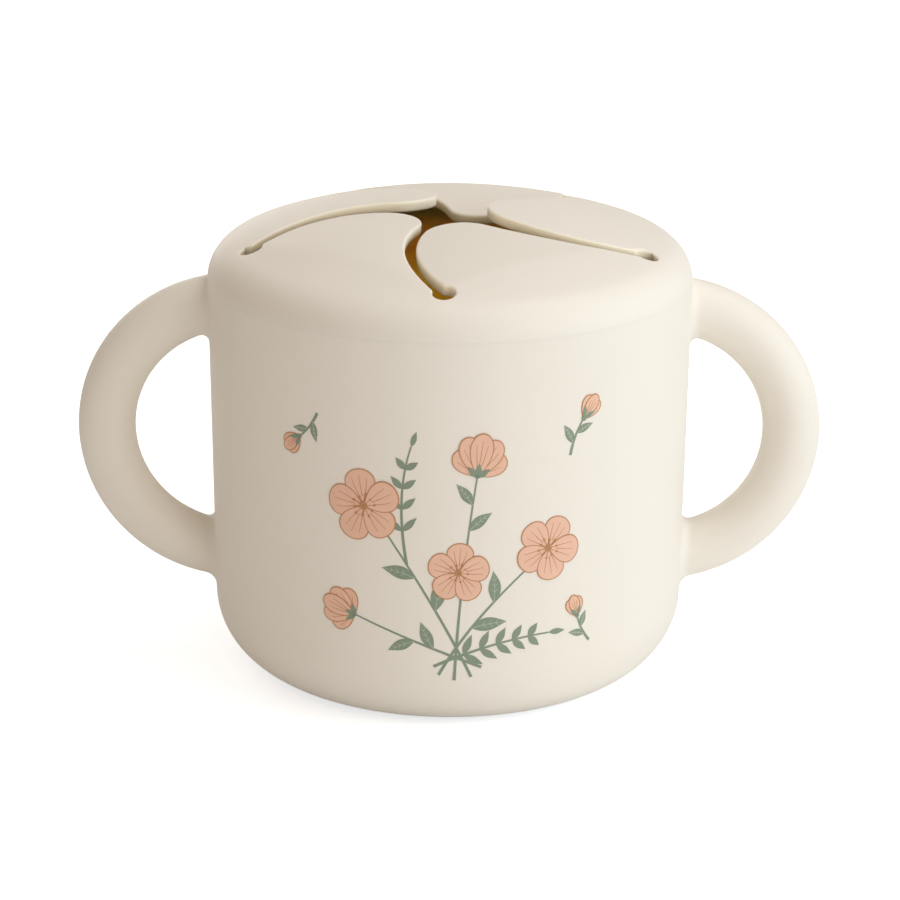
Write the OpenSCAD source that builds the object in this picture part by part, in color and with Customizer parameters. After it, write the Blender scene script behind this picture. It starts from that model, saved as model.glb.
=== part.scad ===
// Snack cup for toddlers with two ring handles and a soft lid.
// The lid's top is cut into five curved flaps, so that a hand can reach in and the snack stays inside.
// Sizes are in millimetres. The cup stands on z = 0, the handles lie along X and the front faces -Y.

/* [Cup] */
// Outer radius of the wall where the shoulder starts
rim_r = 44; // [38:0.1:52]
// How much narrower the wall's outer radius is at the base plane
base_in = 0.85; // [0:0.05:4]
// Thickness of the wall
wall_t = 2.8; // [1.5:0.1:3.5]
// Thickness of the floor
floor_t = 3.2; // [2:0.1:6]
// Radius that rounds the outer corner between wall and base
base_round = 13.9; // [6:0.1:18]
// Radius of the shallow recess under the base
foot_recess_r = 23; // [10:0.5:24]
// Depth of the recess under the base
foot_recess_d = 0.8; // [0.4:0.1:1.5]

/* [Rim] */
// Height of the step on which the lid's edge sits
step_z = 73.5; // [60:0.5:74]
// Width of the thickened rim, from the wall's outer face in to the mouth
rim_w = 4.5; // [3.8:0.1:6]
// Thickness of the collar that stands above the step
collar_t = 1.4; // [1:0.1:1.8]
// Height of the collar above the step
collar_h = 3.3; // [2:0.1:3.6]
// Size of the bevel on the collar's top edges
collar_bevel = 0.4; // [0.2:0.1:0.6]
// Height of the thickened band inside the rim, measured below the step
band_h = 6; // [3:0.5:12]
// Height of the slope that runs from the band to the thinner wall
band_slope_h = 6; // [3:0.5:12]
// Radius of the sealing bead round the collar
bead_r = 0.6; // [0.4:0.05:0.8]
// How far the sealing bead stands out of the collar
bead_proud = 0.35; // [0.2:0.05:0.5]

/* [Handles] */
// Radius of each handle's ring, measured to the middle of its bar
handle_r = 24; // [18:0.5:28]
// Radius of the handle's round bar
bar_r = 5.25; // [3.5:0.25:7]
// Distance from the wall's outer face in to the middle of the handle's ring
handle_in = 4.9; // [1:0.1:8]
// Distance from the lid's edge down to the top of the handle's ring
handle_drop = 0.15; // [0.05:0.05:6]
// Radius of the fillet between the bar and the wall
root_fillet = 1.8; // [0.8:0.1:3]

/* [Lid] */
// Height where the shoulder's rounding starts
shoulder_z = 73.2; // [64:0.1:90]
// Radius of the rounded shoulder
shoulder_r = 7.2; // [6:0.1:10]
// Radius of the gently domed top
dome_r = 115; // [95:5:400]
// Thickness of the lid's top and of its flaps
lid_t = 2; // [1.5:0.1:2.4]
// Radial gap between the sealing bead and the lid's skirt
skirt_gap = 0.2; // [0.1:0.05:0.4]
// Gap between the collar's top and the lid above it
collar_gap = 0.2; // [0.1:0.05:0.4]

/* [Flaps] */
// Distance from the wall's outer face in to the centres of the holes that end the slits
hole_in = 7; // [6.2:0.1:8]
// Radius of each hole that ends a slit
hole_r = 2; // [1.6:0.1:2.2]
// Turn of the whole pattern about the cup's axis, in degrees
pattern_turn = -1.6; // [-18:0.1:18]
// Distance from the ring of holes in to the centres of the flaps' bulging edges
petal_in = 8.2; // [7:0.1:12]
// Turn of the bulging edge from the middle of the flap, in degrees
petal_twist = 12.5; // [0:0.5:16]
// Radius that rounds the flap's nose
nose_r = 6.7; // [3:0.1:8]
// Width of the slit between two flaps
slit_w = 2.3; // [1:0.1:2.5]
// Distance from the holes' centres in to the line on which a flap bends
hinge_in = 1; // [0.5:0.1:1.5]
// Radius of the rounded root that turns about the bending line
hinge_r = 2.5; // [2:0.05:2.7]
// Gap between the rounded root and the lid round it
hinge_gap = 0.25; // [0.15:0.05:0.3]
// Rest angles of the flaps, in degrees, with positive ones raising the nose
tilt_front_right = -4; // [-12:0.5:5]
// Rest angle of the flap at the back right
tilt_back_right = 0.5; // [-12:0.5:5]
// Rest angle of the flap at the back
tilt_back = -10; // [-12:0.5:5]
// Rest angle of the flap at the back left
tilt_back_left = -1.5; // [-12:0.5:5]
// Rest angle of the flap at the front left
tilt_front_left = -5.5; // [-12:0.5:5]

/* [Hidden] */
silicone = [0.93, 0.9, 0.84];
$fn = 96;

// Gap at each handle's root, so that the two solids lie face to face without a shared surface.
seat_gap = 0.05;
// How far a cutting solid runs past the solid that it cuts.
past = 10;
// How far the nose's circle runs past the edges that it rounds.
nose_lap = 0.03;

// Outer radius of the wall, carried down to the base plane.
base_r = rim_r - base_in;
// Radius of the mouth inside the thickened rim.
mouth_r = rim_r - rim_w;

// Centre of the handle's ring.
handle_x = rim_r - handle_in;
handle_z = step_z - handle_drop - bar_r - handle_r;

// Centre of the shoulder's rounding.
shoulder_cx = rim_r - shoulder_r;
// Height of the dome's centre, which lets the dome run smoothly into the shoulder.
dome_cz = shoulder_z - sqrt(pow(dome_r - shoulder_r, 2) - pow(shoulder_cx, 2));
// Highest point of the closed lid.
top_z = dome_cz + dome_r;
// Angle of the line from the dome's centre through the shoulder's centre.
dome_edge_a = atan2(shoulder_z - dome_cz, shoulder_cx);
// Angle at which the drawn dome ends, a little early, so that the shoulder's rounding crosses it.
dome_cut_a = dome_edge_a + 0.2;

// Lean of the wall, as a change of radius for each millimetre of height.
lean = (rim_r - base_r) / shoulder_z;
lean_a = atan(lean);
// Centre of the rounding at the base.
base_cx = base_r + lean * base_round - base_round / cos(lean_a);

collar_r = mouth_r + collar_t;
collar_top = step_z + collar_h;
skirt_r = collar_r + bead_proud + skirt_gap;
channel_top = collar_top + collar_gap;

// The pattern has five flaps, each named in NODES.
flap_count = 5;
flap_a = 360 / flap_count;
hole_ring_r = rim_r - hole_in;
hole_x = hole_ring_r * sin(flap_a / 2);
hole_y = hole_ring_r * cos(flap_a / 2);
hinge_y = hole_y - hinge_in;
// Mean height of the middle of the lid's thickness along the bending line.
hinge_z = dome_cz + (sqrt(pow(dome_r, 2) - pow(hinge_y, 2)) + sqrt(pow(dome_r, 2) - pow(hole_ring_r, 2))) / 2
          - lid_t / 2;

// Centres of the circle that bulges and of the neighbour's circle, which hollows the other edge.
petal_reach = hole_ring_r - petal_in;
petal_c = petal_reach * [cos(petal_twist - 90), sin(petal_twist - 90)];
next_c = petal_reach * [cos(petal_twist - 90 + flap_a), sin(petal_twist - 90 + flap_a)];
// The middle of the slit between the two circles runs into the middle of the hole that ends it.
petal_r = norm(petal_c + [hole_x, hole_y]) - slit_w / 2;
hollow_r = petal_r + slit_w;

// Point at distance ra from a and rb from b, on the left of the line from a to b.
function meet(a, ra, b, rb) =
    let (d = norm(b - a), u = (b - a) / d, s = (d * d + ra * ra - rb * rb) / (2 * d))
    let (h = sqrt(ra * ra - s * s))
    a + s * u + h * [-u[1], u[0]];

nose_c = meet(petal_c, petal_r - nose_r + nose_lap, next_c, hollow_r + nose_r - nose_lap);

// Outline of the closed cup, drawn in by inset all round, on the right of the axis.
module outline(inset) {
    intersection() {
        translate([0, inset]) square([rim_r + past, top_z]);
        union() {
            // Wall and base, up to the shoulder.
            polygon([[0, inset], [base_cx, inset], [base_cx, base_round],
                     [base_cx, base_round] + (base_round - inset) * [cos(lean_a), -sin(lean_a)],
                     [shoulder_cx + (shoulder_r - inset), shoulder_z], [0, shoulder_z]]);
            translate([base_cx, base_round]) circle(r = base_round - inset);
            // Rounded shoulder.
            intersection() {
                translate([shoulder_cx, shoulder_z]) circle(r = shoulder_r - inset);
                translate([0, shoulder_z]) square([rim_r + past, top_z]);
            }
            // Domed top, up to the line on which it meets the shoulder.
            intersection() {
                translate([0, dome_cz]) circle(r = dome_r - inset, $fn = 1440);
                polygon([[0, shoulder_z], [shoulder_cx, shoulder_z],
                         [0, dome_cz] + (dome_r + past) * [cos(dome_cut_a), sin(dome_cut_a)],
                         [0, top_z + past]]);
            }
        }
    }
}

module cup_outline() {
    difference() {
        union() {
            intersection() {
                outline(0);
                square([rim_r + past, step_z]);
            }
            // Collar with bevelled edges.
            polygon([[mouth_r - past, step_z - 1], [collar_r, step_z - 1],
                     [collar_r, collar_top - collar_bevel], [collar_r - collar_bevel, collar_top],
                     [mouth_r - past, collar_top]]);
            // Sealing bead.
            translate([collar_r + bead_proud - bead_r, step_z + collar_h / 2]) circle(r = bead_r, $fn = 32);
        }
        // Inside of the cup, narrowed at the rim by the thickened band.
        intersection() {
            union() {
                outline(wall_t);
                translate([0, step_z - past]) square([mouth_r, 2 * past]);
            }
            polygon([[0, floor_t], [rim_r, floor_t], [rim_r, step_z - band_h - band_slope_h],
                     [rim_r - wall_t, step_z - band_h - band_slope_h], [mouth_r, step_z - band_h],
                     [mouth_r, collar_top - collar_bevel], [mouth_r + collar_bevel, collar_top],
                     [mouth_r + collar_bevel, top_z], [0, top_z]]);
        }
        // Recess under the base.
        square([foot_recess_r, foot_recess_d]);
    }
}

module cup_body() {
    color(silicone) rotate_extrude() cup_outline();
}

// Radius of the wall's outer face at a height.
function wall_r(z) = base_r + lean * z;

// Fillet round the bar where it meets the wall, and a short plug that the wall then cuts.
module root_flare(side_z) {
    root_x = wall_r(handle_z + side_z * handle_r);
    root_a = acos((root_x - handle_x) / handle_r);
    translate([root_x, 0, handle_z + side_z * handle_r * sin(root_a)]) rotate([0, 90, 0]) rotate_extrude()
        difference() {
            translate([0, -root_fillet]) square([bar_r + root_fillet, 2 * root_fillet]);
            translate([bar_r + root_fillet, root_fillet]) circle(r = root_fillet, $fn = 48);
        }
}

// Ring handle on the right-hand side, cut to the wall and kept below the lid's edge.
module ring_handle() {
    difference() {
        union() {
            translate([handle_x, 0, handle_z]) rotate([90, 0, 0]) rotate_extrude()
                translate([handle_r, 0]) circle(r = bar_r);
            root_flare(1);
            root_flare(-1);
        }
        rotate_extrude() outline(-seat_gap);
        translate([0, -past, step_z - seat_gap]) cube([rim_r + past, 2 * past, past]);
    }
}

module right_handle() {
    color(silicone) ring_handle();
}

module left_handle() {
    color(silicone) mirror([1, 0, 0]) ring_handle();
}

// Skirt, shoulder and domed top of the lid in one sweep.
module lid_sweep() {
    rotate_extrude() difference() {
        intersection() {
            outline(0);
            translate([0, step_z]) square([rim_r + past, top_z]);
        }
        outline(lid_t);
        square([skirt_r, channel_top]);
    }
}

// Turns its children to the place of flap k, counted anticlockwise from the front right.
module at_flap(k) {
    rotate([0, 0, pattern_turn + flap_a * (k + 0.5)]) children();
}

// Bar along the bending line of a flap.
module hinge_bar(r, margin) {
    translate([-hole_x - margin, -hinge_y, hinge_z]) rotate([0, 90, 0])
        cylinder(r = r, h = 2 * (hole_x + margin), $fn = 64);
}

// Holes at both ends of a flap's bending line.
module end_holes() {
    for (side = [-1, 1]) {
        translate([side * hole_x, -hole_y, 0]) cylinder(r = hole_r, h = top_z + past, $fn = 48);
    }
}

// Outline of one flap: a bulging edge, a rounded nose and an edge hollowed by the next flap.
module petal() {
    left = nose_c + (nose_c - petal_c) / norm(nose_c - petal_c) * petal_r;
    right = nose_c + (next_c - nose_c) / norm(next_c - nose_c) * petal_r;
    difference() {
        translate(petal_c) circle(r = petal_r);
        translate(next_c) circle(r = hollow_r);
        polygon([nose_c, left, left + right - nose_c, right]);
    }
    translate(nose_c) circle(r = nose_r, $fn = 64);
}

module flap(k, tilt) {
    color(silicone) at_flap(k)
        translate([0, -hinge_y, hinge_z]) rotate([tilt, 0, 0]) translate([0, hinge_y, -hinge_z])
            difference() {
                intersection() {
                    lid_sweep();
                    translate([0, 0, hinge_z - past]) linear_extrude(2 * past) petal();
                    union() {
                        hinge_bar(hinge_r, 0);
                        translate([-rim_r, -hinge_y, hinge_z - past]) cube([2 * rim_r, rim_r, 2 * past]);
                    }
                }
                end_holes();
            }
}

module flap_front_right() {
    flap(0, tilt_front_right);
}

module flap_back_right() {
    flap(1, tilt_back_right);
}

module flap_back() {
    flap(2, tilt_back);
}

module flap_back_left() {
    flap(3, tilt_back_left);
}

module flap_front_left() {
    flap(4, tilt_front_left);
}

// Opening in the lid's top: five-sided between the bending lines, with a round hole at each corner.
module lid_opening() {
    polygon([for (k = [0:flap_count - 1]) hinge_y / cos(flap_a / 2) * [sin(flap_a * k), -cos(flap_a * k)]]);
    for (k = [0:flap_count - 1]) {
        rotate(flap_a * k) translate([0, -hole_ring_r]) circle(r = hole_r, $fn = 48);
    }
}

module lid_shell() {
    color(silicone) difference() {
        lid_sweep();
        rotate([0, 0, pattern_turn]) linear_extrude(top_z + past) lid_opening();
        for (k = [0:flap_count - 1]) {
            at_flap(k) hinge_bar(hinge_r + hinge_gap, 0);
        }
    }
}

cup_body();
left_handle();
right_handle();
lid_shell();
flap_front_right();
flap_back_right();
flap_back();
flap_back_left();
flap_front_left();
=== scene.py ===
"""Builds the looks of a toddler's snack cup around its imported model.

The cup and its ring handles, the lid with its five curved flaps and the printed flowers are each a class
with its own sizes. All lengths are in metres, the cup stands on z = 0 and its front faces -Y.
"""

import logging
import math
from dataclasses import dataclass, field
from enum import Enum
from typing import Callable, Iterable

import bmesh
import bpy
from bmesh.types import BMEdge, BMesh, BMFace, BMVert
from mathutils import Matrix, Vector
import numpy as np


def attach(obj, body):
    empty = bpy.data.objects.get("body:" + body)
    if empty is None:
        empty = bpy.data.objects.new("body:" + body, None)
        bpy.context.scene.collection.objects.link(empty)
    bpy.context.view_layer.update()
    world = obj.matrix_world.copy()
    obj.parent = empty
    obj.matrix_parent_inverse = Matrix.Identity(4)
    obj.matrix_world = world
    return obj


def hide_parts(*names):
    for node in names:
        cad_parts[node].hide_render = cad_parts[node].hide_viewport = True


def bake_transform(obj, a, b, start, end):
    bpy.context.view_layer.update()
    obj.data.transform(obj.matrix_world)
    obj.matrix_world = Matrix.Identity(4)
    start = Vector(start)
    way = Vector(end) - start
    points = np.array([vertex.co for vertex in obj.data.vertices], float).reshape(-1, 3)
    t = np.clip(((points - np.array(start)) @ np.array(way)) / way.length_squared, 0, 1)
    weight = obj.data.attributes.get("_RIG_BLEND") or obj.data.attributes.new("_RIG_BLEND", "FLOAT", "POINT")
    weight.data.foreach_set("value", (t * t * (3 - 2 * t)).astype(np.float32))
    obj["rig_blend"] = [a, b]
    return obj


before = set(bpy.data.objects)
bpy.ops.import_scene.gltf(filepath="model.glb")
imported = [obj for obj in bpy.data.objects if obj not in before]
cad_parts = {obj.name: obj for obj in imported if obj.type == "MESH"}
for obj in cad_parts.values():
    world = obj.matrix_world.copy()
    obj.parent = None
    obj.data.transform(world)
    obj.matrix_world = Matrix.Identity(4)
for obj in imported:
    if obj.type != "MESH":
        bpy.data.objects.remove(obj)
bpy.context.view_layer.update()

LOG = logging.getLogger("snack_cup")
MM = 0.001
ORIGIN = (0.0, 0.0, 0.0)
UP = (0.0, 0.0, 1.0)
CREASE_DEG = 38.0
RGB = tuple[float, float, float]
RGBA = tuple[float, float, float, float]


# Shared forms


@dataclass(frozen=True)
class OuterForm:
    """The closed cup's outer form, which the cup, its handles and its lid share.

    The wall leans out a little, the base is rounded, and the lid's shoulder runs into a gentle dome.
    """

    rim_r: float = 44.0 * MM
    base_in: float = 0.85 * MM
    base_round: float = 13.9 * MM
    step_z: float = 73.5 * MM
    shoulder_z: float = 73.2 * MM
    shoulder_r: float = 7.2 * MM
    dome_r: float = 115.0 * MM

    @property
    def lean(self) -> float:
        """Change of the wall's radius for each metre of height."""
        return self.base_in / self.shoulder_z

    @property
    def base_cx(self) -> float:
        """Distance from the axis to the centre of the base's rounding."""
        return self.wall_r(self.base_round) - self.base_round / math.cos(math.atan(self.lean))

    @property
    def shoulder_cx(self) -> float:
        """Distance from the axis to the centre of the shoulder's rounding."""
        return self.rim_r - self.shoulder_r

    @property
    def dome_cz(self) -> float:
        """Height of the dome's centre."""
        return self.shoulder_z - math.sqrt((self.dome_r - self.shoulder_r) ** 2 - self.shoulder_cx**2)

    @property
    def dome_edge_a(self) -> float:
        """Angle above the horizon of the line on which the dome meets the shoulder."""
        return math.atan2(self.shoulder_z - self.dome_cz, self.shoulder_cx)

    @property
    def step_a(self) -> float:
        """Angle of the shoulder's rounding at the lid's lower edge."""
        return math.asin((self.step_z - self.shoulder_z) / self.shoulder_r)

    def wall_r(self, z: float) -> float:
        """Outer radius of the wall at height z."""
        return self.rim_r - self.base_in + self.lean * z

    def top_z(self, r: float, depth: float = 0.0) -> float:
        """Height of the lid at a distance from the axis.

        Args:
            r: Distance from the cup's axis.
            depth: Distance below the lid's outer face, such as the lid's thickness for its underside.

        Returns:
            The height of that face at r.
        """
        dome = self.dome_r - depth
        if r <= dome * math.cos(self.dome_edge_a):
            return self.dome_cz + math.sqrt(dome**2 - r**2)
        across = min(r - self.shoulder_cx, self.shoulder_r - depth)
        return self.shoulder_z + math.sqrt((self.shoulder_r - depth) ** 2 - across**2)


class ProfilePen:
    """Draws the half section of a turned piece in the XZ plane, and turns it about Z."""

    def __init__(self, x: float, z: float, hold: float = 0.9 * MM) -> None:
        """Starts the section.

        Args:
            x: Distance of the first point from the axis.
            z: Height of the first point.
            hold: Distance from a line's ends to the loops that keep it straight in the shading.
        """
        self.bm = bmesh.new()
        self.hold = hold
        self.tip = self.bm.verts.new((x, 0.0, z))

    def line_to(self, x: float, z: float) -> "ProfilePen":
        """Draws a straight line, with a point near each end if it is long.

        Args:
            x: Distance of the line's end from the axis.
            z: Height of the line's end.

        Returns:
            The pen.
        """
        start, end = self.tip.co.copy(), Vector((x, 0.0, z))
        share = self.hold / max((end - start).length, 1e-9)
        for mark in [1.0] if share > 0.25 else [share, 1.0 - share, 1.0]:
            self.tip = bmesh.ops.extrude_vert_indiv(self.bm, verts=[self.tip])["verts"][0]
            self.tip.co = start.lerp(end, mark)
        return self

    def arc(self, cx: float, cz: float, degrees: float, steps: int) -> "ProfilePen":
        """Draws an arc that starts at the pen.

        Args:
            cx: Distance of the arc's centre from the axis.
            cz: Height of the arc's centre.
            degrees: Angle of the arc, positive from +X towards +Z.
            steps: Number of segments.

        Returns:
            The pen.
        """
        made = bmesh.ops.spin(self.bm, geom=[self.tip], cent=(cx, 0.0, cz), axis=(0.0, 1.0, 0.0),
                              angle=-math.radians(degrees), steps=steps, use_merge=False)
        self.tip = next(g for g in made["geom_last"] if isinstance(g, BMVert))
        return self

    def turn(self, steps: int) -> BMesh:
        """Turns the section once round the axis and closes its poles.

        Args:
            steps: Number of segments round the axis.

        Returns:
            The turned mesh, with its faces outwards.
        """
        bmesh.ops.spin(self.bm, geom=self.bm.verts[:] + self.bm.edges[:], cent=ORIGIN, axis=UP,
                       angle=math.tau, steps=steps, use_merge=True)
        bmesh.ops.remove_doubles(self.bm, verts=self.bm.verts[:], dist=1e-7)
        bmesh.ops.recalc_face_normals(self.bm, faces=self.bm.faces[:])
        return self.bm


def round_edges(bm: BMesh, edges: Iterable[BMEdge], offset: float, segments: int = 3) -> None:
    """Rounds edges with a bevel.

    Args:
        bm: Mesh that holds the edges.
        edges: Edges to round.
        offset: Distance from each edge at which its rounding starts.
        segments: Number of faces across the rounding.
    """
    bmesh.ops.bevel(bm, geom=list(edges), offset=offset, offset_type="OFFSET", segments=segments,
                    profile=0.5, affect="EDGES", clamp_overlap=True, material=-1)


def sharp_edges(bm: BMesh) -> list[BMEdge]:
    """Finds the edges at which two faces turn by more than the crease angle."""
    limit = math.radians(CREASE_DEG)
    return [e for e in bm.edges if len(e.link_faces) == 2 and e.calc_face_angle() > limit]


def draw_out(bm: BMesh, rim: list[BMEdge]) -> tuple[set[BMVert], list[BMEdge]]:
    """Extrudes an open edge loop.

    Args:
        bm: Mesh that holds the loop.
        rim: The loop.

    Returns:
        The new loop's vertices, which still lie on the old ones, and its edges.
    """
    made = bmesh.ops.extrude_edge_only(bm, edges=rim)["geom"]
    fresh = {g for g in made if isinstance(g, BMVert)}
    return fresh, [g for g in made if isinstance(g, BMEdge) and set(g.verts) <= fresh]


def mark_cut_walls(bm: BMesh, is_cut: Callable[[Vector], bool], level: float = 0.8) -> None:
    """Gives the upright walls of the slits and holes the second material, whose brighter, warmer colour is
    painted light.

    Args:
        bm: Mesh of a flap or of the ring, not tilted yet.
        is_cut: Tells by a wall's middle whether it is at a slit or a hole.
        level: Size of a normal's upward part from which a face counts as level.
    """
    for face in bm.faces:
        face.material_index = int(abs(face.normal.z) < level and is_cut(face.calc_center_median()))


def to_piece(bm: BMesh, name: str, *materials: bpy.types.Material) -> bpy.types.Object:
    """Makes an object of a finished mesh, at the origin, with smooth faces and crisp corners.

    Args:
        bm: The mesh, which is freed.
        name: Name of the piece.
        materials: Its materials, in the order of the faces' material numbers.

    Returns:
        The object.
    """
    for face in bm.faces:
        face.smooth = True
    for edge in sharp_edges(bm):
        edge.smooth = False
    mesh = bpy.data.meshes.new(name)
    bm.to_mesh(mesh)
    bm.free()
    for material in materials:
        mesh.materials.append(material)
    piece = bpy.data.objects.new(name, mesh)
    bpy.context.scene.collection.objects.link(piece)
    LOG.info("%s: %d faces", name, len(mesh.polygons))
    return piece


# Finishes


class NodeBoard:
    """Lays out the nodes of one material or world."""

    def __init__(self, owner: bpy.types.Material | bpy.types.World) -> None:
        """Clears the owner's node tree and keeps it."""
        owner.use_nodes = True
        self.tree = owner.node_tree
        self.tree.nodes.clear()

    def add(self, kind: str, settings: dict[str, object] | None = None, **inputs: object) -> bpy.types.Node:
        """Adds a node.

        Args:
            kind: Type of the node.
            settings: Properties of the node itself.
            inputs: Values or output sockets for its inputs. Each is named like the input with _ for a
                space, or by its number, as i0.

        Returns:
            The node.
        """
        node = self.tree.nodes.new(kind)
        for key, value in (settings or {}).items():
            setattr(node, key, value)
        for key, value in inputs.items():
            by_number = key[0] == "i" and key[1:].isdigit()
            socket = node.inputs[int(key[1:]) if by_number else key.replace("_", " ")]
            if isinstance(value, bpy.types.NodeSocket):
                self.tree.links.new(value, socket)
            else:
                socket.default_value = value
        return node

    def noise(self, place: bpy.types.NodeSocket, scale: float, detail: float,
              roughness: float) -> bpy.types.NodeSocket:
        """Adds a noise texture.

        Args:
            place: Where on the piece it is looked up.
            scale: How many swells it has to the metre, about.
            detail: Number of finer layers.
            roughness: Strength of the finer layers.

        Returns:
            Its value, from 0 to 1.
        """
        node = self.add("ShaderNodeTexNoise", Vector=place, Scale=scale, Detail=detail, Roughness=roughness)
        return node.outputs["Fac"]

    def swing(self, value: bpy.types.NodeSocket, middle: float, reach: float) -> bpy.types.NodeSocket:
        """Lets a value from 0 to 1 swing round a middle, by a reach to both sides."""
        node = self.add("ShaderNodeMapRange", Value=value, To_Min=middle - reach, To_Max=middle + reach)
        return node.outputs["Result"]


@dataclass(frozen=True)
class SoftSilicone:
    """Matt, slightly powdery silicone, as it leaves a blasted mould."""

    name: str
    colour: RGBA
    tint: RGBA
    roughness: float = 0.56
    roughness_swing: float = 0.05
    glow: float = 0.08
    glow_reach: float = 1.2 * MM
    glow_spread: RGB = (1.0, 0.9, 0.8)
    sheen: float = 0.12
    sheen_roughness: float = 0.45
    ior: float = 1.43
    cloud_scale: float = 38.0
    grain_scale: float = 2600.0
    grain_depth: float = 0.04 * MM
    grain_strength: float = 0.12
    swell_scale: float = 160.0
    swell_depth: float = 0.2 * MM
    swell_strength: float = 0.10

    def material(self) -> bpy.types.Material:
        """Makes the material: faint cloudiness in the colour, and the mould's grain in gloss and bump."""
        material = bpy.data.materials.new(self.name)
        board = NodeBoard(material)
        place = board.add("ShaderNodeTexCoord").outputs["Object"]
        cloud = board.noise(place, self.cloud_scale, detail=3.0, roughness=0.5)
        colour = board.add("ShaderNodeMix", {"data_type": "RGBA"}, i0=cloud, i6=self.colour, i7=self.tint)
        grain = board.noise(place, self.grain_scale, detail=2.0, roughness=0.6)
        swell = board.noise(place, self.swell_scale, detail=2.0, roughness=0.5)
        gloss = board.swing(swell, self.roughness, self.roughness_swing)
        fine = board.add("ShaderNodeBump", Height=grain, Strength=self.grain_strength,
                         Distance=self.grain_depth)
        soft = board.add("ShaderNodeBump", Height=swell, Strength=self.swell_strength,
                         Distance=self.swell_depth, Normal=fine.outputs["Normal"])
        skin = board.add("ShaderNodeBsdfPrincipled", Base_Color=colour.outputs["Result"],
                         Roughness=gloss, Normal=soft.outputs["Normal"],
                         Subsurface_Weight=self.glow, Subsurface_Radius=self.glow_spread,
                         Subsurface_Scale=self.glow_reach, Sheen_Weight=self.sheen,
                         Sheen_Roughness=self.sheen_roughness, IOR=self.ior)
        board.add("ShaderNodeOutputMaterial", Surface=skin.outputs["BSDF"])
        return material


@dataclass(frozen=True)
class PrintedInk:
    """Matt silicone ink, a little cloudy where it was pressed on."""

    name: str
    colour: RGBA
    cloud: RGBA
    roughness: float = 0.6
    roughness_swing: float = 0.05
    ior: float = 1.43
    cloud_scale: float = 420.0
    grain_scale: float = 2600.0
    grain_depth: float = 0.03 * MM
    grain_strength: float = 0.1

    def material(self) -> bpy.types.Material:
        """Makes the material: two shades in soft clouds, and a fine grain in gloss and bump."""
        material = bpy.data.materials.new(self.name)
        board = NodeBoard(material)
        place = board.add("ShaderNodeTexCoord").outputs["Object"]
        cloud = board.noise(place, self.cloud_scale, detail=3.0, roughness=0.6)
        colour = board.add("ShaderNodeMix", {"data_type": "RGBA"}, i0=cloud, i6=self.colour, i7=self.cloud)
        grain = board.noise(place, self.grain_scale, detail=2.0, roughness=0.6)
        gloss = board.swing(grain, self.roughness, self.roughness_swing)
        bump = board.add("ShaderNodeBump", Height=grain, Strength=self.grain_strength,
                         Distance=self.grain_depth)
        skin = board.add("ShaderNodeBsdfPrincipled", Base_Color=colour.outputs["Result"],
                         Roughness=gloss, Normal=bump.outputs["Normal"], IOR=self.ior)
        board.add("ShaderNodeOutputMaterial", Surface=skin.outputs["BSDF"])
        return material


# Cup and handles


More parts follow.
